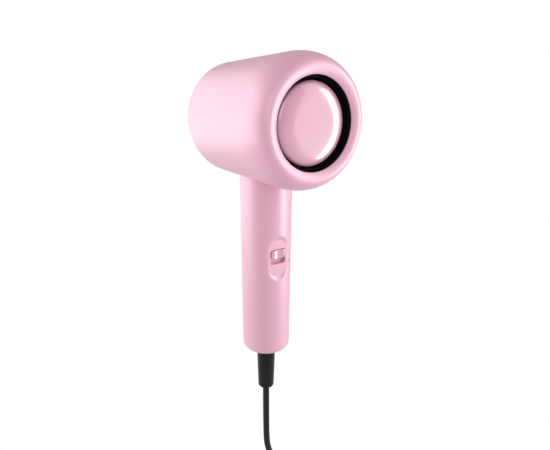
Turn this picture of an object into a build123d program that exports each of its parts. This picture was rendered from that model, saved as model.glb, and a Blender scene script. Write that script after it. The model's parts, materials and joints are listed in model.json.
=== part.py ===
"""Hair dryer: a short barrel head on a straight round handle, with its blower, heater,
slide switch, ion generator and mains lead.

Millimetres. +Z runs up the handle and -Y points out of the air outlet. The origin is on the
handle's axis, where the hand closes round it. "Along the head" means along Y on the head's axis.
"""
import os
from math import asin, cos, degrees, pi, radians, sin, sqrt, tan

from build123d import *

os.makedirs("parts", exist_ok=True)

# ---------------------------------------------------------------- driving dimensions
# head
HEAD_D = 78.5  # outside of the barrel
HEAD_WALL = 2.4
FRONT_REACH = 54.9  # handle axis to the crest of the outlet lip
REAR_REACH = 48.5  # handle axis to the flat back of the head
REAR_ROUND = 9.5  # round between the barrel's side and its back
LIP_RADIAL = 8.5  # the lip rolls in this far from the barrel's side to its crest
LIP_AXIAL = 19.3  # and starts rolling this far behind the crest
LIP_INSET = 4.45  # from the crest in to the mouth
LIP_CURL_R = 7.0  # radius of the roll between crest and mouth
LIP_DEPTH = 2.3  # from the crest back to the lip's flat inner face
# handle
GRIP_DROP = 100.0  # head axis down to the origin
HANDLE_REACH = 171.0  # head axis down to the handle's flat foot
HANDLE_D = 36.4
HANDLE_WALL = 2.2
FOOT_ROUND = 3.0
FOOT_T = 2.5
# thumb scoop, switch window and slider
SWITCH_DROP = 91.5  # head axis down to the middle of the switch window
SCOOP_DROP = 92.8  # head axis down to the middle of the scoop
SCOOP_LENGTH = 34.0
SCOOP_DEPTH = 2.0
SCOOP_FLARE = 60.0  # degrees that the scoop's ends lean outwards
SCOOP_ROUND = 1.8  # soft rim of the scoop
SCOOP_WALL = 2.4  # left behind the deepest point of the scoop
PAD_H = 26.0  # of the flat pad inside, behind the scoop
WINDOW_W = 12.4
WINDOW_H = 11.2
WINDOW_ROUND = 2.0
KNOB_W = 11.4
KNOB_H = 6.4
KNOB_PROUD = 1.3  # above the bottom of the scoop
KNOB_ROUND = 1.0
DISH_R = 12.0
DISH_DEPTH = 0.6  # the thumb's hollow in the knob
SHUTTER_T = 1.2
SHUTTER_W = 14.8
SHUTTER_LAP = 1.0  # the shutter covers the window by this much at either end of the travel
SWITCH_W = 10.0
SWITCH_DEPTH = 6.5
SWITCH_LAP = 4.0  # the switch's case runs this far past its slot
SWITCH_FLOOR = 2.0
STEM = 3.0
# air path
DUCT_WALL = 1.6
AIR_GAP = 2.8  # between the outlet cap and the duct
CAP_RECESS = 5.4  # mouth back to the cap's rim
CAP_DOME = 3.4  # rim forward to the cap's face
CAP_ROUND = 11.0  # radial width of the cap's rounded shoulder
CAP_WALL = 1.8
CAP_SKIRT = 1.6
CAP_BOSS_R = 4.5
CAP_SCREW_DEPTH = 2.6
SPIDER_LENGTH = 5.0
SPIDER_ARMS = 3
SPIDER_ARM_W = 2.6
HUB_R = 6.0
NEEDLE_GAP = 2.5  # spider to ion needle, and ion needle to heater
NEEDLE_R = 0.4
NEEDLE_LENGTH = 2.5
NEEDLE_HOLDER_R = 1.6
NEEDLE_HOLDER_RISE = 3.5  # above the duct's floor
# blower
TERMINAL_GAP = 3.0  # leads to motor, and leads to heater
TERMINAL_PAST = 1.0  # a terminal runs this far past the leads' middle
TERMINAL_DROP = 7.5  # head axis down to the motor's terminals
TERMINAL_W = 1.8
TERMINAL_T = 0.8
MOTOR_R = 12.4
MOTOR_WALL = 1.0
END_CAP_T = 2.0
SHAFT_R = 1.5
SHAFT_INSET = 0.5  # shaft's front end behind the end cap's face
ARMATURE_R = 7.5
ARMATURE_INSET = 4.0  # from the can's ends
ARMATURE_SLOTS = 5
ARMATURE_SLOT_W = 1.2
ARMATURE_SLOT_DEPTH = 2.0
WINDING_R = 3.2
WINDING_INSET = 1.0
MAGNET_T = 2.8
MAGNET_INSET = 3.0
MOTOR_GAP = 1.2  # motor to impeller
IMPELLER_LENGTH = 10.0
IMPELLER_HUB_R = 9.0
IMPELLER_FACE_T = 1.0  # the hub closes over the shaft's end
BLADES = 9
BLADE_T = 1.3
BLADE_PITCH = 35.0  # degrees
VANES = 7
VANE_T = 1.2
VANE_INSET = 3.0  # motor's back end forward to the vanes
FAN_GAP = 1.8  # impeller to guard
HOUSING_WALL = 1.2
# intake
GUARD_T = 2.0
GUARD_RINGS = (7.0, 13.0, 19.0)
GUARD_RING_W = 1.4
GUARD_HUB_R = 2.5
GUARD_SPOKES = 6
GUARD_SPOKE_W = 1.6
GUARD_SEAT = 1.0  # duct's end to the guard
INTAKE_WALL = 1.4
INTAKE_LAP = 14.0  # the intake frame grips this much of the duct
COVER_T = 1.8
COVER_SKIRT = 4.2
COVER_CLIP = 2.3  # room for the ring that pushes into the intake
COVER_CHAMFER = 0.5
COVER_HOLE_R = 1.25
COVER_PITCH = 4.1
MESH_T = 0.8
FILTER_TRAVEL = 30.0
# heater
MICA_T = 0.8
TAB_W = 2.4  # of the tabs that the heater's leads are joined to
SLEEVE_T = 0.5
WIRE_R = 0.55
COIL_INSET = 3.0  # from the mica boards' outer edges in to the heating wire
COIL_RINGS = 7
THERMOSTAT = (7.0, 12.0, 3.5)
THERMOSTAT_ROUND = 1.0
THERMOSTAT_X = 7.5  # the fuse lies under it
FUSE_R = 1.8
FUSE_LENGTH = 10.0
FUSE_WIRE_R = 0.5
FUSE_WIRE_LENGTH = 18.0
# handle's inside
CORE_WALL = 1.6
OPEN_W = 17.6  # the core's open front
OPEN_SILL = 4.0
BRIDGE_DROP = 5.6  # duct down to the bridge that carries it
BRIDGE_T = 2.5
BOSS_R = 2.8
BOSS_ROOF = 0.5  # left between a boss's hole and the duct
RIB_T = 2.0
RIB_RISE = 4.0  # board up to the rib
BOARD_T = 1.6
BOARD_LAP = 5.0  # the board runs this far past the switch
BOARD_SIDE = 1.5  # board's edge to the core's wall, at the board's front
BOARD_RISE = 5.0  # end of the mains lead up to the board
POST_R = 2.4
POST_INSET = 1.0  # post's side in from the board's edge
POST_RISE = 4.0  # post's middle in from the board's end
POST_HOLE = 5.0
SCREW_R = 1.1
SCREW_HEAD_R = 2.0
SCREW_HEAD_T = 1.3
SCREW_TIP = 1.0  # of hole left past a screw's end
RELAY = (9.0, 6.0, 11.0)
RELAY_RISE = 10.0
RESISTORS = 3
RESISTOR_R = 1.5
RESISTOR_LENGTH = 7.0
RESISTOR_GAP = 3.0
RESISTOR_PITCH = 3.6
ION_LENGTH = 26.0
ION_HALF_W = 7.0
ION_ROUND = 0.6
ION_LEAD_R = 0.7
ION_LEAD_X = 5.6
ION_LEAD_BEND = 1.5
ION_LEAD_RISE = 2.0
LEAD_R = 1.1
LEAD_BEND = 1.4
LEAD_JOINT = 3.0  # leads leave the board this far under its top
LEAD_ROOM = 0.9  # beside the leads in their slots
LEAD_SLOT = 4.0  # length along the head
HEATER_LEAD_XS = (-4.4, -1.8)
MOTOR_LEAD_XS = (0.6, 2.8)
MOTOR_LEAD_R = 0.8
MAINS_LEAD_X = 1.3
MAINS_LEAD_R = 1.0
MAINS_LEAD_RISE = 4.0
CLAMP_H = 6.0
CLAMP_W = 16.0
CLAMP_REACH = 5.0  # handle axis forward to the clamp's face
CLAMP_RISE = 7.5
CLAMP_SCREW_INSET = 2.6
CLAMP_HOLE = 6.0
SADDLE_INSET = 2.0
TAIL_PAST = 2.0  # the lead ends this far above the clamp
# mains lead
CORD_D = 5.4
RELIEF_TOP_R = 7.4
RELIEF_END_R = 6.4
RELIEF_LENGTH = 41.6
RELIEF_NECK_R = 5.0
RELIEF_FLANGE_R = 8.0
RELIEF_FLANGE_T = 2.0
RELIEF_CHAMFER = 1.0
COIL_OUTER = 34.6  # centre line of the coil's outermost turn
COIL_INNER = 22.3
COIL_ROWS = 4
COIL_PITCH = 5.5  # from one turn to the next beside it
COIL_DROP = 352.0  # head axis down to the middle of the coil
TIE_W = 12.0
TIE_T = 1.4
TIE_TURN = 25.0  # degrees round the coil, from its top to the left
TAIL = 24.0  # middle of the coil down to the plug
PLUG_FACE = (26.1, 35.3)
PLUG_CORNER = 8.0
PLUG_EDGE = 1.2
PLUG_NECK = (14.0, 17.0)
PLUG_NECK_CORNER = 5.0
PLUG_FACE_LENGTH = 12.0
PLUG_TAPER = 22.0
PLUG_RELIEF = 15.0
PLUG_RELIEF_R = (5.4, 4.0)
PIN_R = 2.4
PIN_LENGTH = 19.0
PIN_SPACING = 19.0
PIN_ROUND = 1.2
# clearances
SEAT = 0.1  # between pieces that are pushed together
SLIP = 0.3  # between pieces that move past each other
BEARING = 0.05  # radial, shaft to bearing
ROOM = 0.4  # round what stands in the core
LAP = 1.0  # features of one piece run into each other
OVERCUT = 2.0  # a cut runs this far past what it cuts

# ---------------------------------------------------------------- worked out from them
head_r = HEAD_D / 2
head_z = GRIP_DROP
head_in_r = head_r - HEAD_WALL
crest_r = head_r - LIP_RADIAL
outlet_r = crest_r - LIP_INSET
mouth_y = -FRONT_REACH + LIP_CURL_R - sqrt(LIP_CURL_R**2 - LIP_INSET**2)
duct_front = -FRONT_REACH + LIP_DEPTH
duct_r = outlet_r + DUCT_WALL
rear_mouth_r = head_r - REAR_ROUND

handle_r = HANDLE_D / 2
handle_in_r = handle_r - HANDLE_WALL
foot_z = head_z - HANDLE_REACH
core_r = handle_in_r - SEAT
core_in_r = core_r - CORE_WALL
core_foot_z = foot_z + FOOT_T + RELIEF_FLANGE_T

# front to back: cap, spider, needle, heater, leads, motor, impeller, guard, cover
cap_r = outlet_r - AIR_GAP
cap_rim_y = mouth_y + CAP_RECESS
cap_face_y = cap_rim_y - CAP_DOME
spider_front = cap_rim_y + 2 * SEAT
spider_back = spider_front + SPIDER_LENGTH
needle_y = spider_back + NEEDLE_GAP
heater_front = needle_y + NEEDLE_GAP
heater_back = -TERMINAL_GAP
motor_front = TERMINAL_GAP
can_front = motor_front + END_CAP_T
cover_back = REAR_REACH - COVER_SKIRT
guard_back = cover_back - COVER_CLIP
guard_front = guard_back - GUARD_T
impeller_back = guard_front - FAN_GAP
impeller_front = impeller_back - IMPELLER_LENGTH
can_back = impeller_front - MOTOR_GAP
can_inside = can_back - MOTOR_WALL
duct_back = guard_front - GUARD_SEAT
housing_r = outlet_r - SEAT
housing_in_r = housing_r - HOUSING_WALL

# switch stack, from the scoop inwards
scoop_z = head_z - SCOOP_DROP
window_z = head_z - SWITCH_DROP
scoop_slope = SCOOP_DEPTH * tan(radians(SCOOP_FLARE))
scoop_w = 2 * sqrt(handle_r**2 - (handle_r - SCOOP_DEPTH) ** 2)
scoop_floor_y = -(handle_r - SCOOP_DEPTH)
pad_y = scoop_floor_y + SCOOP_WALL
shutter_front = pad_y + SLIP
shutter_back = shutter_front + SHUTTER_T
switch_front = shutter_back + SLIP
switch_back = switch_front + SWITCH_DEPTH
board_back = switch_back + BOARD_T
slider_travel = WINDOW_H - KNOB_H - 2 * SLIP
knob_top = window_z + WINDOW_H / 2 - SLIP
knob_z = knob_top - KNOB_H / 2
knob_front_y = scoop_floor_y - KNOB_PROUD
slot_z = knob_z - slider_travel / 2
slot_h = STEM + slider_travel + 2 * SLIP
switch_h = slot_h + 2 * SWITCH_LAP
shutter_top = window_z + WINDOW_H / 2 + slider_travel + SHUTTER_LAP
shutter_foot = window_z - WINDOW_H / 2 - SHUTTER_LAP

# handle's inside, from the foot up
clamp_z = core_foot_z + CLAMP_RISE
clamp_top = clamp_z + CLAMP_H
clamp_screw_x = CLAMP_W / 2 - CLAMP_SCREW_INSET
tail_top = clamp_top + TAIL_PAST
board_foot = tail_top + BOARD_RISE
board_top = slot_z + switch_h / 2 + BOARD_LAP
board_w = 2 * (sqrt(core_in_r**2 - switch_back**2) - BOARD_SIDE)
post_x = board_w / 2 - POST_R - POST_INSET
post_zs = (board_foot + POST_RISE, board_top - POST_RISE)
rib_z = board_top + RIB_RISE
bridge_top = head_z - duct_r - BRIDGE_DROP
bridge_z = bridge_top - BRIDGE_T
boss_y = core_in_r - BOSS_R - ROOM
ion_front = LEAD_SLOT / 2 + SEAT
ion_back = sqrt(core_in_r**2 - ION_HALF_W**2) - ROOM
ion_foot = rib_z + RIB_T
ion_lead_y = (ion_front + ion_back) / 2
ion_lead_z = (bridge_top + head_z - duct_r) / 2 + SLIP
lead_slot_left = HEATER_LEAD_XS[0] - LEAD_R - LEAD_ROOM
lead_slot_right = MOTOR_LEAD_XS[1] + MOTOR_LEAD_R + LEAD_ROOM
needle_foot_z = ion_lead_z + ION_LEAD_RISE
needle_holder_z = head_z - outlet_r + NEEDLE_HOLDER_RISE

# mains lead
cord_r = CORD_D / 2
relief_end_z = foot_z - RELIEF_LENGTH
coil_z = head_z - COIL_DROP
plug_z = coil_z - TAIL

head_axis = Axis((0, 0, head_z), (0, 1, 0))


# ---------------------------------------------------------------- helpers
def along_head(y, x=0.0, z=head_z):
    """A plane across the head at y, facing the back, with its X to the right."""
    return Plane(origin=(x, y, z), x_dir=(1, 0, 0), z_dir=(0, 1, 0))


def head_rod(radius, front, back, mode=Mode.ADD, x=0.0, z=head_z):
    """A round bar along the head, from front to back."""
    rod_from(along_head(front, x, z), radius, back - front, mode)


def upright_rod(radius, foot, top, mode=Mode.ADD, x=0.0, y=0.0):
    """A round bar that stands from foot to top."""
    rod_from(Plane(origin=(x, y, foot)), radius, top - foot, mode)


def rod_from(plane, radius, length, mode=Mode.ADD):
    """A round bar that stands on a plane."""
    with Locations(plane):
        Cylinder(radius, length, align=(Align.CENTER, Align.CENTER, Align.MIN), mode=mode)


def block(low, high, mode=Mode.ADD):
    """A box between its lowest and its highest corner."""
    with Locations(tuple(low)):
        Box(*(b - a for a, b in zip(low, high)), align=(Align.MIN,) * 3, mode=mode)


def route(points, radii):
    """The path through points, as straight runs joined by tangent arcs."""
    with BuildLine() as path:
        FilletPolyline(*points, radius=radii)
    return path.wires()[0]


def tube_along(path, radius):
    """A round tube that follows a path."""
    with BuildSketch(Plane(origin=path @ 0, z_dir=path % 0)) as section:
        Circle(radius)
    sweep(section.sketch, path=path)


def screw(length, plane):
    """A pan-head screw whose head rests on the plane, with its shank along the plane's normal."""
    rod_from(plane, SCREW_R, length)
    rod_from(plane.offset(-SCREW_HEAD_T), SCREW_HEAD_R, SCREW_HEAD_T)


def lead_slot(foot, top):
    """Cuts the slot that the heater's and the motor's leads pass through."""
    block((lead_slot_left, -LEAD_SLOT / 2, foot), (lead_slot_right, LEAD_SLOT / 2, top), Mode.SUBTRACT)


def keep(builder, name):
    """Labels a finished piece and writes it to its own file."""
    builder.part.label = name
    export_step(builder.part, f"parts/{name}.step")


# ---------------------------------------------------------------- head shell
with BuildPart() as head_shell:
    with BuildSketch(Plane.YZ):
        with BuildLine():
            roll_y = -FRONT_REACH + LIP_AXIAL
            curl_y = -FRONT_REACH + LIP_CURL_R
            round_y = REAR_REACH - REAR_ROUND
            curl_angle = degrees(asin(LIP_INSET / LIP_CURL_R))
            EllipticalCenterArc((roll_y, head_z + crest_r), LIP_AXIAL, LIP_RADIAL, 90, arc_size=90)
            Line((roll_y, head_z + head_r), (round_y, head_z + head_r))
            CenterArc((round_y, head_z + rear_mouth_r), REAR_ROUND, 0, 90)
            Line((REAR_REACH, head_z + rear_mouth_r), (REAR_REACH - HEAD_WALL, head_z + rear_mouth_r))
            CenterArc((round_y, head_z + rear_mouth_r), REAR_ROUND - HEAD_WALL, 0, 90)
            Line((round_y, head_z + head_in_r), (roll_y, head_z + head_in_r))
            EllipticalCenterArc(
                (roll_y, head_z + crest_r), LIP_AXIAL - LIP_DEPTH, LIP_RADIAL - HEAD_WALL, 90, arc_size=90
            )
            Polyline(
                (duct_front, head_z + crest_r),
                (duct_front, head_z + outlet_r),
                (mouth_y, head_z + outlet_r),
            )
            CenterArc((curl_y, head_z + crest_r), LIP_CURL_R, 180, curl_angle)
        make_face()
    revolve(axis=head_axis)
    # the handle's core passes through here
    upright_rod(core_r + SEAT, 0, head_z - duct_r, mode=Mode.SUBTRACT)
keep(head_shell, "head_shell")

# ---------------------------------------------------------------- air duct
with BuildPart() as air_duct:
    head_rod(duct_r, duct_front, duct_back)
    for y in (-boss_y, boss_y):
        upright_rod(BOSS_R, bridge_top, head_z - outlet_r + LAP, y=y)
    head_rod(outlet_r, duct_front, duct_back, mode=Mode.SUBTRACT)
    for y in (-boss_y, boss_y):
        upright_rod(SCREW_R, bridge_top, head_z - duct_r - BOSS_ROOF, mode=Mode.SUBTRACT, y=y)
    lead_slot(head_z - duct_r - OVERCUT, head_z - outlet_r + OVERCUT)
    # the ion needle's hole
    upright_rod(
        NEEDLE_HOLDER_R + SEAT, needle_foot_z, head_z, mode=Mode.SUBTRACT, x=ION_LEAD_X, y=needle_y
    )
keep(air_duct, "air_duct")

# ---------------------------------------------------------------- outlet cap and its spider
with BuildPart() as outlet_cap:
    shoulder_r = cap_r - CAP_ROUND
    skirt_y = cap_rim_y + CAP_SKIRT
    with BuildSketch(Plane.YZ):
        with BuildLine():
            Line((cap_face_y, head_z), (cap_face_y, head_z + shoulder_r))
            EllipticalCenterArc((cap_rim_y, head_z + shoulder_r), CAP_DOME, CAP_ROUND, 90, arc_size=90)
            Polyline(
                (cap_rim_y, head_z + cap_r),
                (skirt_y, head_z + cap_r),
                (skirt_y, head_z + cap_r - CAP_WALL),
                (cap_rim_y, head_z + cap_r - CAP_WALL),
                (cap_face_y + CAP_WALL, head_z + shoulder_r),
                (cap_face_y + CAP_WALL, head_z + CAP_BOSS_R),
                (spider_front, head_z + CAP_BOSS_R),
                (spider_front, head_z),
                (cap_face_y, head_z),
            )
        make_face()
    revolve(axis=head_axis)
    head_rod(SCREW_R, spider_front - CAP_SCREW_DEPTH, spider_front, mode=Mode.SUBTRACT)
keep(outlet_cap, "outlet_cap")

with BuildPart() as outlet_spider:
    head_rod(housing_r, spider_front, spider_back)
    head_rod(housing_r - HOUSING_WALL, spider_front, spider_back, mode=Mode.SUBTRACT)
    head_rod(HUB_R, spider_front, spider_back)
    with Locations(along_head((spider_front + CAP_SKIRT + spider_back) / 2)):
        with PolarLocations((HUB_R + housing_r - HOUSING_WALL) / 2, SPIDER_ARMS, start_angle=90):
            Box(housing_r - HOUSING_WALL - HUB_R + LAP, SPIDER_ARM_W, SPIDER_LENGTH - CAP_SKIRT)
    head_rod(SCREW_R, spider_front, spider_back, mode=Mode.SUBTRACT)
keep(outlet_spider, "outlet_spider")

with BuildPart() as cap_screw:
    screw(
        SPIDER_LENGTH + CAP_SCREW_DEPTH - 2 * SEAT,
        Plane(origin=(0, spider_back, head_z), z_dir=(0, -1, 0)),
    )
keep(cap_screw, "cap_screw")

# ---------------------------------------------------------------- heater
sleeve_r = outlet_r - SEAT
sleeve_in_r = sleeve_r - SLEEVE_T
board_half = sleeve_in_r - SEAT
coil_ring_r = board_half - COIL_INSET
heater_mid = (heater_front + heater_back) / 2
ring_step = (heater_back - heater_front) / (COIL_RINGS + 1)
ring_ys = [heater_front + ring_step * (n + 1) for n in range(COIL_RINGS)]

with BuildPart() as mica_sleeve:
    head_rod(sleeve_r, heater_front, heater_back)
    head_rod(sleeve_in_r, heater_front, heater_back, mode=Mode.SUBTRACT)
keep(mica_sleeve, "mica_sleeve")


def mica_board(slot_front, slot_back, tabs):
    """A mica board along the head, notched for the wire, with a half-length slot for the other."""
    with Locations((0, heater_mid, 0)):
        Box(2 * board_half, heater_back - heater_front, MICA_T)
    notch = board_half - coil_ring_r + WIRE_R + SEAT
    for y in ring_ys:
        for side in (-1, 1):
            with Locations((side * (board_half - notch / 2), y, 0)):
                Box(notch, 2 * (WIRE_R + SEAT), MICA_T, mode=Mode.SUBTRACT)
    slot_half = (MICA_T + SEAT) / 2
    block((-slot_half, slot_front, -MICA_T), (slot_half, slot_back, MICA_T), mode=Mode.SUBTRACT)
    for x in tabs:
        block((x - TAB_W / 2, heater_back - LAP, -MICA_T / 2), (x + TAB_W / 2, TERMINAL_PAST, MICA_T / 2))


with BuildPart(Plane(origin=(0, 0, head_z))) as mica_board_flat:
    mica_board(heater_mid - SEAT / 2, heater_back + OVERCUT, HEATER_LEAD_XS)
keep(mica_board_flat, "mica_board_flat")

with BuildPart(Plane(origin=(0, 0, head_z), x_dir=(0, 0, -1), z_dir=(1, 0, 0))) as mica_board_upright:
    mica_board(heater_front - OVERCUT, heater_mid + SEAT / 2, ())
keep(mica_board_upright, "mica_board_upright")

with BuildPart() as heating_coils:
    for y in ring_ys:
        with Locations(along_head(y)):
            Torus(coil_ring_r, WIRE_R)
keep(heating_coils, "heating_coils")

# the thermostat lies on the flat board and the thermal fuse under it
with BuildPart() as thermostat:
    with Locations((THERMOSTAT_X, heater_mid, head_z + MICA_T / 2)):
        Box(*THERMOSTAT, align=(Align.CENTER, Align.CENTER, Align.MIN))
    fillet(thermostat.edges().filter_by(Axis.Z), THERMOSTAT_ROUND)
keep(thermostat, "thermostat")

with BuildPart() as thermal_fuse:
    for radius, length in ((FUSE_R, FUSE_LENGTH), (FUSE_WIRE_R, FUSE_WIRE_LENGTH)):
        head_rod(
            radius,
            heater_mid - length / 2,
            heater_mid + length / 2,
            x=THERMOSTAT_X,
            z=head_z - MICA_T / 2 - FUSE_R,
        )
keep(thermal_fuse, "thermal_fuse")

# ---------------------------------------------------------------- blower
with BuildPart() as fan_housing:
    head_rod(housing_r, motor_front, duct_back)
    head_rod(housing_in_r, motor_front, duct_back, mode=Mode.SUBTRACT)
    cup_r = MOTOR_R + SEAT + HOUSING_WALL
    vane_back = can_back - VANE_INSET
    vane_mid = (can_front + vane_back) / 2
    head_rod(cup_r, can_front, vane_back)
    with Locations(along_head(vane_mid)):
        with PolarLocations((MOTOR_R + housing_r) / 2, VANES):
            Box(housing_r - MOTOR_R - HOUSING_WALL, VANE_T, vane_back - can_front)
    head_rod(MOTOR_R + SEAT, motor_front, duct_back, mode=Mode.SUBTRACT)
keep(fan_housing, "fan_housing")

with BuildPart() as motor_can:
    head_rod(MOTOR_R, can_front, can_back)
    head_rod(MOTOR_R - MOTOR_WALL, can_front, can_inside, mode=Mode.SUBTRACT)
    head_rod(SHAFT_R + BEARING, can_front, can_back, mode=Mode.SUBTRACT)
keep(motor_can, "motor_can")

with BuildPart() as motor_magnets:
    magnet_r = MOTOR_R - MOTOR_WALL - SEAT
    magnet_ends = (can_front + MAGNET_INSET, can_inside - MAGNET_INSET)
    head_rod(magnet_r, *magnet_ends)
    head_rod(magnet_r - MAGNET_T, *magnet_ends, mode=Mode.SUBTRACT)
    block(
        (-MOTOR_R, can_front, head_z - ARMATURE_R / 2),
        (MOTOR_R, can_back, head_z + ARMATURE_R / 2),
        mode=Mode.SUBTRACT,
    )
keep(motor_magnets, "motor_magnets")

with BuildPart() as motor_end_cap:
    head_rod(MOTOR_R, motor_front, can_front)
    terminal_z = head_z - TERMINAL_DROP
    for x in MOTOR_LEAD_XS:
        block(
            (x - TERMINAL_W / 2, -TERMINAL_PAST, terminal_z),
            (x + TERMINAL_W / 2, can_front, terminal_z + TERMINAL_T),
        )
    head_rod(SHAFT_R + BEARING, -TERMINAL_GAP, can_front, mode=Mode.SUBTRACT)
keep(motor_end_cap, "motor_end_cap")

with BuildPart() as motor_shaft:
    head_rod(SHAFT_R, motor_front + SHAFT_INSET, impeller_back - IMPELLER_FACE_T)
keep(motor_shaft, "motor_shaft")

with BuildPart() as motor_armature:
    head_rod(ARMATURE_R, can_front + ARMATURE_INSET, can_inside - ARMATURE_INSET)
    with Locations(along_head((can_front + can_inside) / 2)):
        with PolarLocations(ARMATURE_R, ARMATURE_SLOTS):
            Box(2 * ARMATURE_SLOT_DEPTH, ARMATURE_SLOT_W, can_back - can_front, mode=Mode.SUBTRACT)
    head_rod(WINDING_R, can_front + WINDING_INSET, can_inside - WINDING_INSET)
    head_rod(SHAFT_R, can_front, can_back, mode=Mode.SUBTRACT)
keep(motor_armature, "motor_armature")

with BuildPart() as impeller:
    blade_out_r = housing_in_r - 2 * SLIP
    impeller_mid = (impeller_front + impeller_back) / 2
    with Locations(along_head(impeller_mid)):
        with PolarLocations((IMPELLER_HUB_R + blade_out_r) / 2, BLADES):
            Box(
                blade_out_r - IMPELLER_HUB_R + 2 * OVERCUT,
                BLADE_T,
                IMPELLER_LENGTH + 2 * OVERCUT,
                rotation=(BLADE_PITCH, 0, 0),
            )
    head_rod(IMPELLER_HUB_R, impeller_front, impeller_back)
    head_rod(blade_out_r, impeller_front, impeller_back, mode=Mode.INTERSECT)
    head_rod(SHAFT_R, impeller_front, impeller_back - IMPELLER_FACE_T, mode=Mode.SUBTRACT)
keep(impeller, "impeller")

# ---------------------------------------------------------------- intake, guard and filter cover
guard_half = rear_mouth_r - SEAT
with BuildPart() as intake_frame:
    head_rod(guard_half, guard_front - INTAKE_LAP, cover_back - SLIP)
    head_rod(guard_half - INTAKE_WALL, guard_back, cover_back - SLIP, mode=Mode.SUBTRACT)
    head_rod(duct_r + SEAT, guard_front - INTAKE_LAP, duct_back + SEAT, mode=Mode.SUBTRACT)
    with BuildSketch(along_head(duct_back)) as guard_openings:
        Circle(guard_half - INTAKE_WALL)
        for ring_r in GUARD_RINGS:
            Circle(ring_r + GUARD_RING_W / 2, mode=Mode.SUBTRACT)
            Circle(ring_r - GUARD_RING_W / 2)
        Circle(GUARD_HUB_R, mode=Mode.SUBTRACT)
        with PolarLocations(0, GUARD_SPOKES // 2, angular_range=180):
            Rectangle(2 * head_r, GUARD_SPOKE_W, mode=Mode.SUBTRACT)
    extrude(guard_openings.sketch, amount=guard_back - duct_back, mode=Mode.SUBTRACT)
keep(intake_frame, "intake_frame")

clip_r = guard_half - INTAKE_WALL - SLIP
cover_r = rear_mouth_r - SLIP
with BuildPart() as filter_cover:
    head_rod(cover_r, cover_back, REAR_REACH)
    chamfer(filter_cover.edges().group_by(Axis.Y)[-1], COVER_CHAMFER)
    head_rod(clip_r, guard_back + SLIP, cover_back)
    head_rod(clip_r - INTAKE_WALL, guard_back + SLIP, REAR_REACH - COVER_T, mode=Mode.SUBTRACT)
    hole_rings = int((clip_r - INTAKE_WALL - COVER_HOLE_R) / COVER_PITCH)
    for ring in range(1, hole_rings + 1):
        with Locations(along_head(REAR_REACH - COVER_T)):
            with PolarLocations(ring * COVER_PITCH, 6 * ring):
                Cylinder(COVER_HOLE_R, 3 * COVER_T, mode=Mode.SUBTRACT)
    head_rod(COVER_HOLE_R, cover_back, REAR_REACH, mode=Mode.SUBTRACT)
keep(filter_cover, "filter_cover")

with BuildPart() as filter_mesh:
    head_rod(clip_r - INTAKE_WALL - SEAT, REAR_REACH - COVER_T - MESH_T, REAR_REACH - COVER_T)
keep(filter_mesh, "filter_mesh")

# ---------------------------------------------------------------- handle shell
with BuildPart() as handle_shell:
    upright_rod(handle_r, foot_z, head_z)
    fillet(handle_shell.edges().group_by(Axis.Z)[0], FOOT_ROUND)
    upright_rod(handle_in_r, foot_z + FOOT_T, head_z, mode=Mode.SUBTRACT)
    # a flat pad inside keeps the wall thick behind the scoop
    with BuildSketch(Plane.XY.offset(scoop_z - PAD_H / 2)) as pad:
        Circle(handle_r - 2 * SEAT)
        with Locations((0, pad_y - handle_r)):
            Rectangle(2 * handle_r, 2 * handle_r, mode=Mode.INTERSECT)
    extrude(pad.sketch, amount=PAD_H)
    with BuildSketch(Plane.XZ.offset(-scoop_floor_y)) as scoop:
        with Locations((0, scoop_z)):
            SlotOverall(SCOOP_LENGTH - 2 * scoop_slope, scoop_w, rotation=90)
    extrude(scoop.sketch, amount=handle_r, taper=-SCOOP_FLARE, mode=Mode.SUBTRACT)
    rim = handle_shell.edges(Select.LAST).filter_by(GeomType.CIRCLE, reverse=True)
    fillet(rim, SCOOP_ROUND)
    with BuildSketch(Plane.XZ.offset(-pad_y - SEAT)) as window:
        with Locations((0, window_z)):
            RectangleRounded(WINDOW_W, WINDOW_H, WINDOW_ROUND)
    extrude(window.sketch, amount=handle_r, mode=Mode.SUBTRACT)
    extrude(window.sketch, amount=-OVERCUT, mode=Mode.SUBTRACT)
    upright_rod(RELIEF_NECK_R + SEAT, foot_z - OVERCUT, foot_z + FOOT_T, mode=Mode.SUBTRACT)
    head_rod(head_r, -2 * FRONT_REACH, 2 * REAR_REACH, mode=Mode.SUBTRACT)
keep(handle_shell, "handle_shell")

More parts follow.
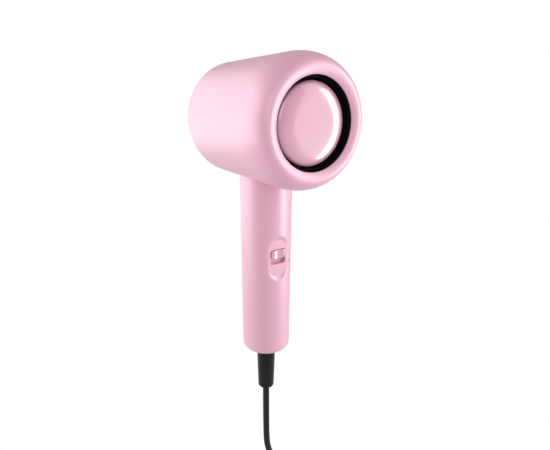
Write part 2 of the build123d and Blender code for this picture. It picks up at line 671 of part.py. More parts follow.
# ---------------------------------------------------------------- handle's core
with BuildPart() as handle_core:
    upright_rod(core_r, core_foot_z, head_z)
    upright_rod(core_in_r, core_foot_z + BRIDGE_T, head_z, mode=Mode.SUBTRACT)
    for z, thickness in ((rib_z, RIB_T), (bridge_z, BRIDGE_T)):
        upright_rod(core_in_r + 2 * SEAT, z, z + thickness)
    # the board's posts and the cord's saddle stand out from the back wall
    post_planes = [
        Plane(origin=(x, board_back, z), z_dir=(0, 1, 0)) for x in (-post_x, post_x) for z in post_zs
    ]
    for plane in post_planes:
        rod_from(plane, POST_R, sqrt(core_r**2 - (post_x + POST_R) ** 2) - board_back)
    block(
        (-CLAMP_W / 2, SEAT, core_foot_z),
        (CLAMP_W / 2, core_in_r - SADDLE_INSET, clamp_top),
    )
    # open front, for the switch and the board
    block(
        (-OPEN_W / 2, -2 * core_r, core_foot_z + OPEN_SILL),
        (OPEN_W / 2, 0, (board_top + rib_z) / 2),
        mode=Mode.SUBTRACT,
    )
    # the leads' way up, the lead of the ion generator, and the screws
    lead_slot(rib_z - OVERCUT, rib_z + RIB_T + OVERCUT)
    lead_slot(bridge_z - OVERCUT, bridge_top + OVERCUT)
    upright_rod(
        LEAD_R, bridge_z - OVERCUT, bridge_top + OVERCUT, mode=Mode.SUBTRACT, x=ION_LEAD_X, y=ion_lead_y
    )
    head_rod(LEAD_R + SEAT, -2 * core_r, 0, mode=Mode.SUBTRACT, x=ION_LEAD_X, z=ion_lead_z)
    for y in (-boss_y, boss_y):
        upright_rod(SCREW_R + SEAT, bridge_z - OVERCUT, bridge_top + OVERCUT, mode=Mode.SUBTRACT, y=y)
    upright_rod(cord_r + SEAT, core_foot_z - OVERCUT, clamp_top + OVERCUT, mode=Mode.SUBTRACT)
    for plane in post_planes:
        rod_from(plane, SCREW_R, POST_HOLE, mode=Mode.SUBTRACT)
    for x in (-clamp_screw_x, clamp_screw_x):
        seat = Plane(origin=(x, SEAT, clamp_z + CLAMP_H / 2), z_dir=(0, 1, 0))
        rod_from(seat, SCREW_R, CLAMP_HOLE, mode=Mode.SUBTRACT)
    head_rod(duct_r + SEAT, -FRONT_REACH, REAR_REACH, mode=Mode.SUBTRACT)
keep(handle_core, "handle_core")

with BuildPart() as neck_screws:
    neck_screw_length = BRIDGE_T + BRIDGE_DROP - BOSS_ROOF - SCREW_TIP
    for y in (-boss_y, boss_y):
        screw(neck_screw_length, Plane(origin=(0, y, bridge_z)))
keep(neck_screws, "neck_screws")

# ---------------------------------------------------------------- slide switch
with BuildPart() as slider_knob:
    with BuildSketch(Plane.XZ.offset(-shutter_back)) as shutter:
        with Locations((0, (shutter_top + shutter_foot) / 2)):
            Rectangle(SHUTTER_W, shutter_top - shutter_foot)
    extrude(shutter.sketch, amount=SHUTTER_T)
    with BuildSketch(Plane.XZ.offset(-shutter_front)) as knob:
        with Locations((0, knob_z)):
            RectangleRounded(KNOB_W, KNOB_H, WINDOW_ROUND - SLIP)
    extrude(knob.sketch, amount=shutter_front - knob_front_y)
    fillet(slider_knob.edges().group_by(Axis.Y)[0], KNOB_ROUND)
    # the thumb's dish, an upright hollow in the knob's face
    dish_y = knob_front_y - DISH_R + DISH_DEPTH
    upright_rod(DISH_R, knob_z - KNOB_H, knob_z + KNOB_H, mode=Mode.SUBTRACT, y=dish_y)
keep(slider_knob, "slider_knob")

with BuildPart() as switch_stem:
    block(
        (-STEM / 2, shutter_back, knob_z - STEM / 2),
        (STEM / 2, switch_back - SWITCH_FLOOR - SLIP, knob_z + STEM / 2),
    )
keep(switch_stem, "switch_stem")

with BuildPart() as slide_switch:
    block(
        (-SWITCH_W / 2, switch_front, slot_z - switch_h / 2),
        (SWITCH_W / 2, switch_back, slot_z + switch_h / 2),
    )
    block(
        (-STEM / 2 - SLIP, switch_front - OVERCUT, slot_z - slot_h / 2),
        (STEM / 2 + SLIP, switch_back - SWITCH_FLOOR, slot_z + slot_h / 2),
        mode=Mode.SUBTRACT,
    )
keep(slide_switch, "slide_switch")

# ---------------------------------------------------------------- circuit board and ion generator
with BuildPart() as circuit_board:
    block((-board_w / 2, switch_back, board_foot), (board_w / 2, board_back, board_top))
    for plane in post_planes:
        rod_from(plane.offset(-BOARD_T), SCREW_R + SEAT, BOARD_T, mode=Mode.SUBTRACT)
keep(circuit_board, "circuit_board")

with BuildPart() as board_screws:
    for plane in post_planes:
        screw(BOARD_T + POST_HOLE - SCREW_TIP, plane.offset(-BOARD_T))
keep(board_screws, "board_screws")

with BuildPart() as board_parts:
    with Locations((0, board_back, board_foot + RELAY_RISE)):
        Box(*RELAY, align=(Align.CENTER, Align.MIN, Align.MIN))
    first_resistor_z = board_foot + RELAY_RISE + RELAY[2] + RESISTOR_GAP
    for n in range(RESISTORS):
        with Locations((0, board_back + RESISTOR_R, first_resistor_z + RESISTOR_PITCH * n)):
            Cylinder(RESISTOR_R, RESISTOR_LENGTH, rotation=(0, 90, 0))
keep(board_parts, "board_parts")

with BuildPart() as ion_generator:
    block((-ION_HALF_W, ion_front, ion_foot), (ION_HALF_W, ion_back, ion_foot + ION_LENGTH))
    fillet(ion_generator.edges().filter_by(Axis.Z), ION_ROUND)
keep(ion_generator, "ion_generator")

with BuildPart() as ion_needle:
    upright_rod(NEEDLE_HOLDER_R, needle_foot_z, needle_holder_z, x=ION_LEAD_X, y=needle_y)
    upright_rod(NEEDLE_R, needle_holder_z, needle_holder_z + NEEDLE_LENGTH, x=ION_LEAD_X, y=needle_y)
keep(ion_needle, "ion_needle")

# ---------------------------------------------------------------- inner leads
with BuildPart() as ion_lead:
    tube_along(
        route(
            [
                (ION_LEAD_X, ion_lead_y, ion_foot + ION_LENGTH),
                (ION_LEAD_X, ion_lead_y, ion_lead_z),
                (ION_LEAD_X, needle_y, ion_lead_z),
                (ION_LEAD_X, needle_y, needle_foot_z),
            ],
            [ION_LEAD_BEND, ION_LEAD_BEND],
        ),
        ION_LEAD_R,
    )
keep(ion_lead, "ion_lead")


def board_lead(x, start, end, radius):
    """A lead that leaves the back of the board at start and turns to end, level with the handle's axis."""
    bend = min(LEAD_BEND, 0.45 * -board_back)
    tube_along(route([(x, board_back, start), (x, 0, start), (x, 0, end)], [bend]), radius)


with BuildPart() as heater_leads:
    for x in HEATER_LEAD_XS:
        board_lead(x, board_top - LEAD_JOINT, head_z - MICA_T / 2, LEAD_R)
keep(heater_leads, "heater_leads")

with BuildPart() as motor_leads:
    for x in MOTOR_LEAD_XS:
        board_lead(x, board_top - LEAD_JOINT, head_z - TERMINAL_DROP, MOTOR_LEAD_R)
keep(motor_leads, "motor_leads")

with BuildPart() as mains_leads:
    for x in (-MAINS_LEAD_X, MAINS_LEAD_X):
        board_lead(x, board_foot + MAINS_LEAD_RISE, tail_top, MAINS_LEAD_R)
keep(mains_leads, "mains_leads")

# ---------------------------------------------------------------- cord anchor
with BuildPart() as cord_clamp:
    block((-CLAMP_W / 2, -CLAMP_REACH, clamp_z), (CLAMP_W / 2, -SEAT, clamp_top))
    upright_rod(cord_r + SEAT, clamp_z - OVERCUT, clamp_top + OVERCUT, mode=Mode.SUBTRACT)
    for x in (-clamp_screw_x, clamp_screw_x):
        head_rod(SCREW_R + SEAT, -CLAMP_REACH, 0, mode=Mode.SUBTRACT, x=x, z=clamp_z + CLAMP_H / 2)
keep(cord_clamp, "cord_clamp")

with BuildPart() as clamp_screws:
    for x in (-clamp_screw_x, clamp_screw_x):
        seat = Plane(origin=(x, -CLAMP_REACH, clamp_z + CLAMP_H / 2), z_dir=(0, 1, 0))
        screw(CLAMP_REACH + CLAMP_HOLE - SCREW_TIP, seat)
keep(clamp_screws, "clamp_screws")

with BuildPart() as strain_relief:
    with BuildSketch(Plane.XZ):
        with BuildLine():
            neck_top = foot_z + FOOT_T
            Polyline(
                (cord_r + SEAT, relief_end_z),
                (RELIEF_END_R - RELIEF_CHAMFER, relief_end_z),
                (RELIEF_END_R, relief_end_z + RELIEF_CHAMFER),
                (RELIEF_TOP_R, foot_z),
                (RELIEF_NECK_R, foot_z),
                (RELIEF_NECK_R, neck_top),
                (RELIEF_FLANGE_R, neck_top),
                (RELIEF_FLANGE_R, neck_top + RELIEF_FLANGE_T),
                (cord_r + SEAT, neck_top + RELIEF_FLANGE_T),
                close=True,
            )
        make_face()
    revolve(axis=Axis.Z)
keep(strain_relief, "strain_relief")

with BuildPart() as lead_tail:
    upright_rod(cord_r, relief_end_z, tail_top)
keep(lead_tail, "lead_tail")

# ---------------------------------------------------------------- mains lead, hanging
# across and up: down from the strain relief, then round to the right side of the coil
cord_points = [
    (0.0, relief_end_z),
    (0.0, head_z - 250.0),
    (1.0, head_z - 287.0),
    (16.5, head_z - 312.0),
    (32.0, head_z - 332.0),
    (COIL_OUTER, coil_z),
]


def corner_radii(points):
    """The largest arc that each corner's two runs allow."""
    runs = [Vector(*b) - Vector(*a) for a, b in zip(points, points[1:])]
    return [
        0.45 * min(a.length, b.length) / tan(radians(a.get_angle(b)) / 2)
        for a, b in zip(runs, runs[1:])
    ]


cord_radii = corner_radii(cord_points)
print("cord tube radii:", [round(radius, 1) for radius in cord_radii])
cord_path = route([(x, 0, z) for x, z in cord_points], cord_radii)
with BuildPart() as cord_tube:
    tube_along(cord_path, cord_r)
print("cord tube length:", round(cord_path.length, 1))
print("volume against section times length:", cord_tube.part.volume / (pi * cord_r**2 * cord_path.length))
keep(cord_tube, "cord_tube")

coil_back = (COIL_ROWS - 1) * COIL_PITCH
coil_depth = coil_back + CORD_D
coil_thickness = COIL_OUTER - COIL_INNER + CORD_D
coil_mid_r = (COIL_OUTER + COIL_INNER) / 2
coil_axis = Axis((0, 0, coil_z), (0, 1, 0))
with BuildPart() as cord_coil:
    with BuildSketch(Plane.YZ):
        with Locations((coil_back / 2, coil_z + coil_mid_r)):
            RectangleRounded(coil_depth, coil_thickness, cord_r - SEAT)
    revolve(axis=coil_axis)
keep(cord_coil, "cord_coil")

tie_angle = degrees(TIE_W / coil_mid_r)
tie_start = radians(-TIE_TURN - tie_angle / 2)
tie_plane = Plane(origin=(0, 0, coil_z), x_dir=(0, 1, 0), z_dir=(cos(tie_start), 0, -sin(tie_start)))
with BuildPart() as cord_tie:
    with BuildSketch(tie_plane):
        with Locations((coil_back / 2, coil_mid_r)):
            tie_in = (coil_depth + 2 * SEAT, coil_thickness + 2 * SEAT)
            RectangleRounded(tie_in[0] + 2 * TIE_T, tie_in[1] + 2 * TIE_T, cord_r + TIE_T)
            RectangleRounded(*tie_in, cord_r, mode=Mode.SUBTRACT)
    revolve(axis=coil_axis, revolution_arc=tie_angle)
keep(cord_tie, "cord_tie")

with BuildPart() as cord_tail:
    upright_rod(cord_r, plug_z, coil_z, x=COIL_OUTER, y=coil_back)
keep(cord_tail, "cord_tail")

# ---------------------------------------------------------------- plug
plug_neck_z = plug_z - PLUG_RELIEF
plug_face_top = plug_neck_z - PLUG_TAPER
plug_face_z = plug_face_top - PLUG_FACE_LENGTH


def plug_plane(z):
    """A level plane across the plug at height z."""
    return Plane(origin=(COIL_OUTER, coil_back, z))


with BuildPart() as plug_body:
    with BuildSketch(plug_plane(plug_face_z)) as plug_outline:
        RectangleRounded(*PLUG_FACE, PLUG_CORNER)
    extrude(plug_outline.sketch, amount=PLUG_FACE_LENGTH)
    fillet(plug_body.edges().group_by(Axis.Z)[0], PLUG_EDGE)
    with BuildSketch(plug_plane(plug_face_top)) as shoulder:
        RectangleRounded(*PLUG_FACE, PLUG_CORNER)
    with BuildSketch(plug_plane(plug_neck_z)) as neck:
        RectangleRounded(*PLUG_NECK, PLUG_NECK_CORNER)
    loft([shoulder.sketch, neck.sketch])
    with Locations(plug_plane(plug_neck_z)):
        Cone(*PLUG_RELIEF_R, PLUG_RELIEF, align=(Align.CENTER, Align.CENTER, Align.MIN))
keep(plug_body, "plug_body")

with BuildPart() as plug_pins:
    with Locations(plug_plane(plug_face_z)):
        with GridLocations(0, PIN_SPACING, 1, 2):
            Cylinder(PIN_R, PIN_LENGTH, align=(Align.CENTER, Align.CENTER, Align.MAX))
    fillet(plug_pins.edges().group_by(Axis.Z)[0], PIN_ROUND)
keep(plug_pins, "plug_pins")
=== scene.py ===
"""The hair dryer's looks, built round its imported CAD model: soft-touch shells, a glossy outlet cap,
a black duct and the mains lead, which hangs down and is put away in a tied coil."""
import json
import math

import bmesh
import bpy
from mathutils import Matrix, Vector


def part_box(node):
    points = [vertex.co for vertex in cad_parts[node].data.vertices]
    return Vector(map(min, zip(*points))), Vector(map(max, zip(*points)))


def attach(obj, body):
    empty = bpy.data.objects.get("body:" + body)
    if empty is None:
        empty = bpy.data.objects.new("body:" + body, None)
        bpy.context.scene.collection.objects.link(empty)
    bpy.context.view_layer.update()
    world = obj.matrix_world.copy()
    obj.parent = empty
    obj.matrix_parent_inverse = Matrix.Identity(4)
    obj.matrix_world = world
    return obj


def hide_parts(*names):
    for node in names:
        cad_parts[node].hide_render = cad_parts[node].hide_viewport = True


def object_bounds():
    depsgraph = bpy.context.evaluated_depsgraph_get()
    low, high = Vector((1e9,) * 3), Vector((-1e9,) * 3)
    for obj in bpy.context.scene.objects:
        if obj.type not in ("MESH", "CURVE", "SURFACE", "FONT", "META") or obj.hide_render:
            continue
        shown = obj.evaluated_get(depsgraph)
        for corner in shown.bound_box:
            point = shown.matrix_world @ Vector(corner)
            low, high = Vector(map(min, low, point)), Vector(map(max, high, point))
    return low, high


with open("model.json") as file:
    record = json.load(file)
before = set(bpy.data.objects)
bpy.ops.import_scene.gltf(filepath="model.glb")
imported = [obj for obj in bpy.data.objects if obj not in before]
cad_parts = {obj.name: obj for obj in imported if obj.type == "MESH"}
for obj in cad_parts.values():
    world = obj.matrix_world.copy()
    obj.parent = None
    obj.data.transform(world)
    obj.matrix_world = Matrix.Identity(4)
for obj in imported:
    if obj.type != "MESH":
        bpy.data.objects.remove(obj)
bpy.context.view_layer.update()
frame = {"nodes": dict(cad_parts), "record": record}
scene = bpy.context.scene
nodes = frame["nodes"]
MM = 0.001

# ---------------------------------------------------------------- camera
HEAD_LOW, HEAD_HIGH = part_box("head_shell")
HEAD_Z = (HEAD_LOW[2] + HEAD_HIGH[2]) / 2
CAMERA_AZIMUTH = math.radians(31.35)  # to the left of the outlet's axis
CAMERA_PITCH = math.radians(18.79)  # looking down
CAMERA_DISTANCE = 0.2563  # along the view, to where the head's axis crosses the handle's
CAMERA_ASIDE = 0.00015  # the crossing lies this far right of the lens axis
CAMERA_ABOVE = 0.07367  # and this far above it
SENSOR_WIDTH = 36.0
FOCAL_LENGTH = 25.26
SHIFT_X = 0.01655
SHIFT_Y = 0.01273


def make_camera():
    """The camera, left of the outlet and above it, close enough for a strong perspective."""
    level = Vector((math.sin(CAMERA_AZIMUTH), math.cos(CAMERA_AZIMUTH), 0))
    forward = level * math.cos(CAMERA_PITCH) - Vector((0, 0, math.sin(CAMERA_PITCH)))
    right = Vector((math.cos(CAMERA_AZIMUTH), -math.sin(CAMERA_AZIMUTH), 0))
    up = right.cross(forward)
    data = bpy.data.cameras.new("camera")
    camera = bpy.data.objects.new("camera", data)
    scene.collection.objects.link(camera)
    crossing = Vector((0, 0, HEAD_Z))
    place = crossing - forward * CAMERA_DISTANCE - right * CAMERA_ASIDE - up * CAMERA_ABOVE
    turn = Matrix((right, up, -forward)).transposed()
    camera.matrix_world = Matrix.Translation(place) @ turn.to_4x4()
    data.sensor_width = SENSOR_WIDTH
    data.lens = FOCAL_LENGTH
    data.shift_x = SHIFT_X
    data.shift_y = SHIFT_Y
    data.clip_start = 10 * MM
    scene.camera = camera


make_camera()

# ---------------------------------------------------------------- mains lead
CORD_D = 5.4 * MM
RELIEF_END = Vector((0, 0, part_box("strain_relief")[0][2]))
COIL_OUTER_TURN = 34.6 * MM  # centre line of the outermost turn
COIL_INNER_TURN = 22.3 * MM
COIL_ROWS = 4
COIL_PITCH = 5.5 * MM
COIL_TURNS_PER_ROW = 2.25
POINTS_PER_TURN = 16
CROSS_OVER = 1 / 6  # of a turn, in which the lead moves over to the next row
COIL_MIDDLE_Z = (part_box("cord_coil")[0][2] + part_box("cord_coil")[1][2]) / 2
LEAD_ROUTE = [  # across and up, in the plane of the coil's first row
    (0.0, RELIEF_END.z),
    (0.0, -0.150),
    (0.001, -0.187),
    (0.0165, -0.212),
    (0.032, -0.232),
]


def lead_points():
    """The lead's control points: down from the strain relief, round the coil, and down to the plug."""
    points = [Vector((x, 0, z)) for x, z in LEAD_ROUTE]
    # a control point stands out from the curve that it bends
    stand_out = 2 / (1 + math.cos(math.pi / POINTS_PER_TURN))
    count = round(COIL_ROWS * COIL_TURNS_PER_ROW * POINTS_PER_TURN)
    for step in range(count + 1):
        turns = step / POINTS_PER_TURN
        row = min(int(turns / COIL_TURNS_PER_ROW), COIL_ROWS - 1)
        along = (turns - row * COIL_TURNS_PER_ROW) / COIL_TURNS_PER_ROW
        inward = along if row % 2 == 0 else 1 - along
        radius = COIL_OUTER_TURN + (COIL_INNER_TURN - COIL_OUTER_TURN) * inward
        turns_left = COIL_TURNS_PER_ROW * (1 - along)
        shift = max(0.0, 1 - turns_left / CROSS_OVER)
        back = (row + (shift if row < COIL_ROWS - 1 else 0)) * COIL_PITCH
        angle = math.pi / 2 + 2 * math.pi * turns
        across = math.sin(angle) * radius * stand_out
        up = math.cos(angle) * radius * stand_out
        points.append(Vector((across, back, COIL_MIDDLE_Z + up)))
    plug_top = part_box("plug_body")[1][2]
    back = points[-1].y
    for z in ((COIL_MIDDLE_Z + plug_top) / 2, plug_top):
        points.append(Vector((COIL_OUTER_TURN, back, z)))
    return points


def make_lead():
    """The lead's round flex as one smooth curve."""
    curve = bpy.data.curves.new("lead_flex", "CURVE")
    curve.dimensions = "3D"
    spline = curve.splines.new("NURBS")
    points = lead_points()
    spline.points.add(len(points) - 1)
    for point, place in zip(spline.points, points):
        point.co = (*place, 1)
        point.radius = CORD_D / 2
    spline.order_u = 3
    spline.use_endpoint_u = True
    spline.resolution_u = 6
    curve.bevel_depth = 1.0  # times the radius at each point
    curve.bevel_resolution = 5
    curve.use_fill_caps = True
    lead = bpy.data.objects.new("lead_flex", curve)
    scene.collection.objects.link(lead)
    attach(lead, "root")
    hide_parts("cord_tube", "cord_coil", "cord_tail")
    return lead


lead_flex = make_lead()


# ---------------------------------------------------------------- switch marks
HANDLE_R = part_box("handle_shell")[1][0]
MARK_TURN = math.radians(34)  # round the handle from the outlet's side
MARK_LIFT = 0.04 * MM  # thickness of the print
MARK_STEPS = 32
DOT_R = 0.42 * MM
DOT_HOLE_R = 0.05 * MM  # too small to see
RING_R = 0.85 * MM
RING_LINE = 0.3 * MM
RING_STRETCH = 1.2  # taller than it is wide
MARK_DROPS = {"high": (88.1 * MM, 90.1 * MM), "low": (92.6 * MM,), "off": (96.7 * MM,)}


def print_mark(name, middle_z, outer, inner, stretch=1.0):
    """A printed dot or ring, wrapped on the handle beside the switch."""
    printed = bmesh.new()
    loops = []
    for radius, lift in ((outer, 0), (outer, MARK_LIFT), (inner, MARK_LIFT), (inner, 0)):
        loop = []
        for step in range(MARK_STEPS):
            angle = 2 * math.pi * step / MARK_STEPS
            turn = MARK_TURN + radius * math.cos(angle) / HANDLE_R
            out = HANDLE_R + lift
            z = middle_z + radius * stretch * math.sin(angle)
            loop.append(printed.verts.new((out * math.sin(turn), -out * math.cos(turn), z)))
        loops.append(loop)
    for lower, upper in zip(loops, loops[1:] + loops[:1]):
        for step in range(MARK_STEPS):
            following = (step + 1) % MARK_STEPS
            printed.faces.new((lower[step], lower[following], upper[following], upper[step]))
    bmesh.ops.recalc_face_normals(printed, faces=printed.faces)
    mesh = bpy.data.meshes.new(name)
    printed.to_mesh(mesh)
    printed.free()
    mark = bpy.data.objects.new(name, mesh)
    scene.collection.objects.link(mark)
    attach(mark, "root")
    return mark


def make_switch_marks():
    """Two dots for high, one for low and a small ring for off."""
    marks = []
    for setting, drops in MARK_DROPS.items():
        for count, drop in enumerate(drops):
            name = f"mark_{setting}_{count}"
            if setting == "off":
                marks.append(print_mark(name, HEAD_Z - drop, RING_R, RING_R - RING_LINE, RING_STRETCH))
            else:
                marks.append(print_mark(name, HEAD_Z - drop, DOT_R, DOT_HOLE_R))
    return marks


switch_marks = make_switch_marks()


# ---------------------------------------------------------------- shader groups
def new_group(name, inputs, outputs):
    """An empty shader group with named inputs, as (kind, name, default), and outputs."""
    group = bpy.data.node_groups.new(name, "ShaderNodeTree")
    for kind, label, default in inputs:
        socket = group.interface.new_socket(label, in_out="INPUT", socket_type="NodeSocket" + kind)
        if default is not None:
            socket.default_value = default
    for kind, label in outputs:
        group.interface.new_socket(label, in_out="OUTPUT", socket_type="NodeSocket" + kind)
    start = group.nodes.new("NodeGroupInput")
    end = group.nodes.new("NodeGroupOutput")
    return group, start, end


def wire(tree, *pairs):
    """Links output sockets to input sockets."""
    for source, target in pairs:
        tree.links.new(source, target)


def math_node(tree, operation, a, b=0.5, clamp=False):
    """A math node on sockets or numbers; returns its output."""
    node = tree.nodes.new("ShaderNodeMath")
    node.operation = operation
    node.use_clamp = clamp
    for socket, value in zip(node.inputs, (a, b)):
        if isinstance(value, (int, float)):
            socket.default_value = value
        else:
            tree.links.new(value, socket)
    return node.outputs[0]


def noise(tree, vector, scale, detail=2.0, roughness=0.5):
    """Noise on a position; returns its value output."""
    node = tree.nodes.new("ShaderNodeTexNoise")
    node.inputs["Detail"].default_value = detail
    node.inputs["Roughness"].default_value = roughness
    tree.links.new(vector, node.inputs["Vector"])
    if isinstance(scale, (int, float)):
        node.inputs["Scale"].default_value = scale
    else:
        tree.links.new(scale, node.inputs["Scale"])
    return node.outputs["Fac"]


SLOW_SCALE = 28.0  # blotches about 35 mm across
SLOW_SHARE = 0.6  # of the roughness's swing; the fine grain has the rest


def make_moulded_skin():
    """Fine moulded grain: slow colour drift, a roughness that varies, and the height of the grain."""
    group, start, end = new_group(
        "moulded_skin",
        [
            ("Color", "Color", (0.8, 0.8, 0.8, 1)),
            ("Float", "Drift", 0.04),
            ("Float", "Roughness", 0.4),
            ("Float", "Roughness Drift", 0.05),
            ("Float", "Grain Scale", 2200.0),
        ],
        [("Color", "Color"), ("Float", "Roughness"), ("Float", "Grain")],
    )
    place = group.nodes.new("ShaderNodeTexCoord").outputs["Object"]
    slow = noise(group, place, SLOW_SCALE, 3.0)
    fine = noise(group, place, start.outputs["Grain Scale"], 2.0, 0.6)
    drift = math_node(group, "MULTIPLY", math_node(group, "SUBTRACT", slow, 0.5), start.outputs["Drift"])
    shade = group.nodes.new("ShaderNodeHueSaturation")
    wire(
        group,
        (start.outputs["Color"], shade.inputs["Color"]),
        (math_node(group, "ADD", drift, 1.0), shade.inputs["Value"]),
        (shade.outputs[0], end.inputs["Color"]),
    )
    mixed = math_node(
        group,
        "ADD",
        math_node(group, "MULTIPLY", slow, SLOW_SHARE),
        math_node(group, "MULTIPLY", fine, 1 - SLOW_SHARE),
    )
    swing = math_node(
        group, "MULTIPLY", math_node(group, "SUBTRACT", mixed, 0.5), start.outputs["Roughness Drift"]
    )
    rough = math_node(group, "ADD", start.outputs["Roughness"], swing, clamp=True)
    wire(group, (rough, end.inputs["Roughness"]), (fine, end.inputs["Grain"]))
    return group


moulded_skin = make_moulded_skin()


def make_weave():
    """A plain weave on a flat place: thread or gap colour, and the height of the threads."""
    group, start, end = new_group(
        "plain_weave",
        [
            ("Float", "Across", None),
            ("Float", "Along", None),
            ("Float", "Pitch", 0.0006),
            ("Color", "Thread", (0.5, 0.5, 0.5, 1)),
            ("Color", "Gap", (0.01, 0.01, 0.01, 1)),
        ],
        [("Color", "Color"), ("Float", "Height")],
    )
    turns = math_node(group, "DIVIDE", 2 * math.pi, start.outputs["Pitch"])
    waves = [
        math_node(group, "SINE", math_node(group, "MULTIPLY", start.outputs[way], turns))
        for way in ("Across", "Along")
    ]
    crossing = math_node(group, "MULTIPLY", *waves)
    height = math_node(group, "MULTIPLY", math_node(group, "ADD", crossing, 1.0), 0.5)
    blend = group.nodes.new("ShaderNodeMix")
    blend.data_type = "RGBA"
    wire(
        group,
        (math_node(group, "POWER", height, 0.6), blend.inputs["Factor"]),
        (start.outputs["Gap"], blend.inputs[6]),
        (start.outputs["Thread"], blend.inputs[7]),
        (blend.outputs[2], end.inputs["Color"]),
        (height, end.inputs["Height"]),
    )
    return group


plain_weave = make_weave()


def new_material(name):
    """An empty material with its Principled shader and output."""
    material = bpy.data.materials.new(name)
    material.use_nodes = True
    tree = material.node_tree
    tree.nodes.clear()
    shader = tree.nodes.new("ShaderNodeBsdfPrincipled")
    out = tree.nodes.new("ShaderNodeOutputMaterial")
    tree.links.new(shader.outputs[0], out.inputs["Surface"])
    return material, tree, shader


def set_values(shader, values):
    """Sets a shader's own sockets; an underscore in a key stands for a space."""
    for socket, value in values.items():
        shader.inputs[socket.replace("_", " ")].default_value = value


def moulded(name, color, roughness, grain_scale, bump, drift=0.04, roughness_drift=0.05, **shader_values):
    """A moulded plastic or rubber with its own grain."""
    material, tree, shader = new_material(name)
    skin = tree.nodes.new("ShaderNodeGroup")
    skin.node_tree = moulded_skin
    skin.inputs["Color"].default_value = (*color, 1)
    skin.inputs["Drift"].default_value = drift
    skin.inputs["Roughness"].default_value = roughness
    skin.inputs["Roughness Drift"].default_value = roughness_drift
    skin.inputs["Grain Scale"].default_value = grain_scale
    lift = tree.nodes.new("ShaderNodeBump")
    lift.inputs["Strength"].default_value = 1.0
    lift.inputs["Distance"].default_value = bump
    wire(
        tree,
        (skin.outputs["Color"], shader.inputs["Base Color"]),
        (skin.outputs["Roughness"], shader.inputs["Roughness"]),
        (skin.outputs["Grain"], lift.inputs["Height"]),
        (lift.outputs["Normal"], shader.inputs["Normal"]),
    )
    set_values(shader, shader_values)
    return material


def metal(name, color, roughness, grain_scale, bump):
    """A bare metal with its own grain, more uneven than plastic."""
    return moulded(name, color, roughness, grain_scale, bump, drift=0.1, roughness_drift=0.12, Metallic=1.0)


def woven(name, ways, pitch, thread, gap, roughness, bump, **shader_values):
    """A woven strap or wire mesh; ways are the two directions of its threads."""
    material, tree, shader = new_material(name)
    place = tree.nodes.new("ShaderNodeTexCoord")
    parts = tree.nodes.new("ShaderNodeSeparateXYZ")
    weave = tree.nodes.new("ShaderNodeGroup")
    weave.node_tree = plain_weave
    weave.inputs["Pitch"].default_value = pitch
    weave.inputs["Thread"].default_value = (*thread, 1)
    weave.inputs["Gap"].default_value = (*gap, 1)
    lift = tree.nodes.new("ShaderNodeBump")
    lift.inputs["Distance"].default_value = bump
    wire(
        tree,
        (place.outputs["Object"], parts.inputs[0]),
        (parts.outputs[ways[0]], weave.inputs["Across"]),
        (parts.outputs[ways[1]], weave.inputs["Along"]),
        (weave.outputs["Color"], shader.inputs["Base Color"]),
        (weave.outputs["Height"], lift.inputs["Height"]),
        (lift.outputs["Normal"], shader.inputs["Normal"]),
    )
    shader.inputs["Roughness"].default_value = roughness
    set_values(shader, shader_values)
    return material


soft_pink = moulded(
    "soft_touch_pink",
    (0.86, 0.43, 0.58),
    roughness=0.5,
    grain_scale=2600.0,
    bump=0.000008,
    drift=0.03,
    Coat_Weight=1.0,
    Coat_Roughness=0.4,
    Coat_IOR=2.0,
)
cap_pink = moulded(
    "gloss_pink",
    (0.78, 0.38, 0.51),
    roughness=0.35,
    grain_scale=900.0,
    bump=0.000002,
    drift=0.02,
    roughness_drift=0.03,
    Coat_Weight=1.0,
    Coat_Roughness=0.13,
    Coat_IOR=2.0,
)
duct_black = moulded("duct_black", (0.004, 0.004, 0.005), 0.6, 1500.0, 0.00001, Specular_IOR_Level=0.12)
frame_black = moulded("frame_black", (0.02, 0.02, 0.022), 0.5, 1200.0, 0.00001)
cord_black = moulded("cord_black", (0.008, 0.008, 0.01), 0.4, 1800.0, 0.00001, Specular_IOR_Level=0.25)
relief_black = moulded("relief_black", (0.008, 0.009, 0.011), 0.3, 1600.0, 0.00001, Specular_IOR_Level=0.2)
mark_ink = moulded("mark_ink", (0.02, 0.02, 0.022), 0.6, 3000.0, 0.000004)
part_dark = moulded("part_dark", (0.03, 0.03, 0.035), 0.45, 1500.0, 0.00001)
fan_grey = moulded("fan_grey", (0.6, 0.6, 0.6), 0.4, 1200.0, 0.00001)
board_green = moulded("board_green", (0.02, 0.16, 0.06), 0.35, 700.0, 0.00001, 0.2)
mica_tan = moulded("mica_tan", (0.42, 0.33, 0.2), 0.5, 600.0, 0.00003, 0.3)
lead_insulation = moulded("lead_insulation", (0.6, 0.57, 0.52), 0.5, 1500.0, 0.00001)
tie_black = woven("tie_black", "XZ", 0.0011, (0.03, 0.03, 0.034), (0.004, 0.004, 0.004), 0.85, 0.0002)
motor_steel = metal("motor_steel", (0.55, 0.55, 0.57), 0.3, 900.0, 0.000005)
screw_steel = metal("screw_steel", (0.6, 0.6, 0.62), 0.3, 900.0, 0.000005)
shaft_steel = metal("shaft_steel", (0.65, 0.65, 0.66), 0.2, 900.0, 0.000003)
magnet_grey = metal("magnet_grey", (0.12, 0.12, 0.13), 0.55, 900.0, 0.00001)
armature_copper = metal("armature_copper", (0.7, 0.33, 0.18), 0.35, 900.0, 0.00002)
heater_wire = metal("heater_wire", (0.35, 0.32, 0.3), 0.4, 900.0, 0.00001)
mesh_steel = woven(
    "mesh_steel", "XZ", 0.0006, (0.5, 0.5, 0.52), (0.01, 0.01, 0.01), 0.35, 0.0001, Metallic=0.8
)
pin_nickel = metal("pin_nickel", (0.72, 0.7, 0.66), 0.18, 900.0, 0.000003)

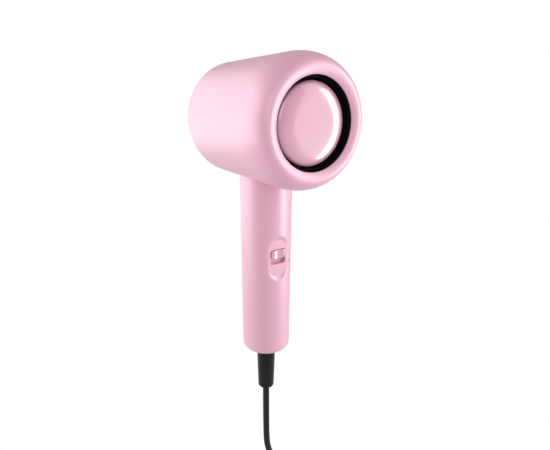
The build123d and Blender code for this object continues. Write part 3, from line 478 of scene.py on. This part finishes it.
finishes = {
    "soft_pink": soft_pink,
    "cap_pink": cap_pink,
    "duct_black": duct_black,
    "frame_black": frame_black,
    "motor_steel": motor_steel,
    "screw_steel": screw_steel,
    "shaft_steel": shaft_steel,
    "magnet_grey": magnet_grey,
    "armature_copper": armature_copper,
    "fan_grey": fan_grey,
    "mica_tan": mica_tan,
    "heater_wire": heater_wire,
    "mesh_steel": mesh_steel,
    "board_green": board_green,
    "part_dark": part_dark,
    "lead_insulation": lead_insulation,
    "cord_black": cord_black,
    "relief_black": relief_black,
    "tie_black": tie_black,
    "pin_nickel": pin_nickel,
}


def paint(piece, material):
    """Gives a piece one material."""
    piece.data.materials.clear()
    piece.data.materials.append(material)


for subpart in frame["record"]["subparts"]:
    paint(nodes[subpart["node"]], finishes[subpart["material_slot"]])
paint(lead_flex, cord_black)
for mark in switch_marks:
    paint(mark, mark_ink)


# ---------------------------------------------------------------- floor and light
FLOOR_HALF = 6.0
LIGHT_AIM = Vector((0, 0, 0.03))  # the top of the handle
FLOOR_GLOW = 0.65  # what the floor gives back to the dryer
SURROUND_GLOW = 0.42  # the even light from all round
# name: degrees to the right of the camera, degrees up, distance, width, height (m), brightness
SOFT_BOXES = {
    "side_left": (-85, 10, 0.9, 0.8, 1.4, 1.65),
    "side_right": (85, 10, 0.9, 0.8, 1.4, 0.85),
    "back_left": (-125, 5, 1.0, 0.9, 1.6, 1.0),
    "front_top": (0, 25, 0.8, 0.5, 0.4, 1.4),
    "cap_strip": (84, 0, 0.8, 0.2, 0.8, 5.5),
}


def seen_and_lit(tree, seen_shader, lit_shader):
    """One shader for what the camera sees and another for the light that reaches the dryer."""
    path = tree.nodes.new("ShaderNodeLightPath")
    mix = tree.nodes.new("ShaderNodeMixShader")
    wire(
        tree,
        (path.outputs["Is Camera Ray"], mix.inputs[0]),
        (lit_shader.outputs[0], mix.inputs[1]),
        (seen_shader.outputs[0], mix.inputs[2]),
    )
    return mix.outputs[0]


def glow(tree, kind, strength):
    """A plain white emitter or background."""
    node = tree.nodes.new(kind)
    node.inputs["Color"].default_value = (1, 1, 1, 1)
    node.inputs["Strength"].default_value = strength
    return node


def make_floor():
    """A plain pale floor, level with the tips of the hanging plug's pins."""
    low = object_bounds()[0][2]
    corners = [(x * FLOOR_HALF, y * FLOOR_HALF, low) for x, y in ((-1, -1), (1, -1), (1, 1), (-1, 1))]
    mesh = bpy.data.meshes.new("floor")
    mesh.from_pydata(corners, [], [(0, 1, 2, 3)])
    floor = bpy.data.objects.new("floor", mesh)
    scene.collection.objects.link(floor)
    material = bpy.data.materials.new("floor_white")
    material.use_nodes = True
    tree = material.node_tree
    tree.nodes.clear()
    out = tree.nodes.new("ShaderNodeOutputMaterial")
    seen = glow(tree, "ShaderNodeEmission", 1.0)
    lit = glow(tree, "ShaderNodeEmission", FLOOR_GLOW)
    wire(tree, (seen_and_lit(tree, seen, lit), out.inputs["Surface"]))
    paint(floor, material)


def soft_box(name, aside, up, distance, width, height, brightness):
    """A soft box that faces the dryer, placed from the camera's own azimuth."""
    data = bpy.data.lights.new(name, "AREA")
    data.shape = "RECTANGLE"
    data.size = width
    data.size_y = height
    data.energy = brightness * math.pi * width * height
    box = bpy.data.objects.new(name, data)
    scene.collection.objects.link(box)
    turn, rise = math.radians(aside) - CAMERA_AZIMUTH, math.radians(up)
    way = Vector((math.sin(turn) * math.cos(rise), -math.cos(turn) * math.cos(rise), math.sin(rise)))
    box.location = LIGHT_AIM + way * distance
    box.rotation_mode = "QUATERNION"
    box.rotation_quaternion = way.to_track_quat("Z", "Y")


def make_light():
    """The soft boxes and a pale even surround, which the camera sees as white."""
    for name, values in SOFT_BOXES.items():
        soft_box(name, *values)
    world = bpy.data.worlds.new("surround")
    scene.world = world
    world.use_nodes = True
    tree = world.node_tree
    tree.nodes.clear()
    out = tree.nodes.new("ShaderNodeOutputWorld")
    seen = glow(tree, "ShaderNodeBackground", 1.0)
    lit = glow(tree, "ShaderNodeBackground", SURROUND_GLOW)
    wire(tree, (seen_and_lit(tree, seen, lit), out.inputs["Surface"]))
    scene.view_settings.view_transform = "Standard"


make_floor()
make_light()
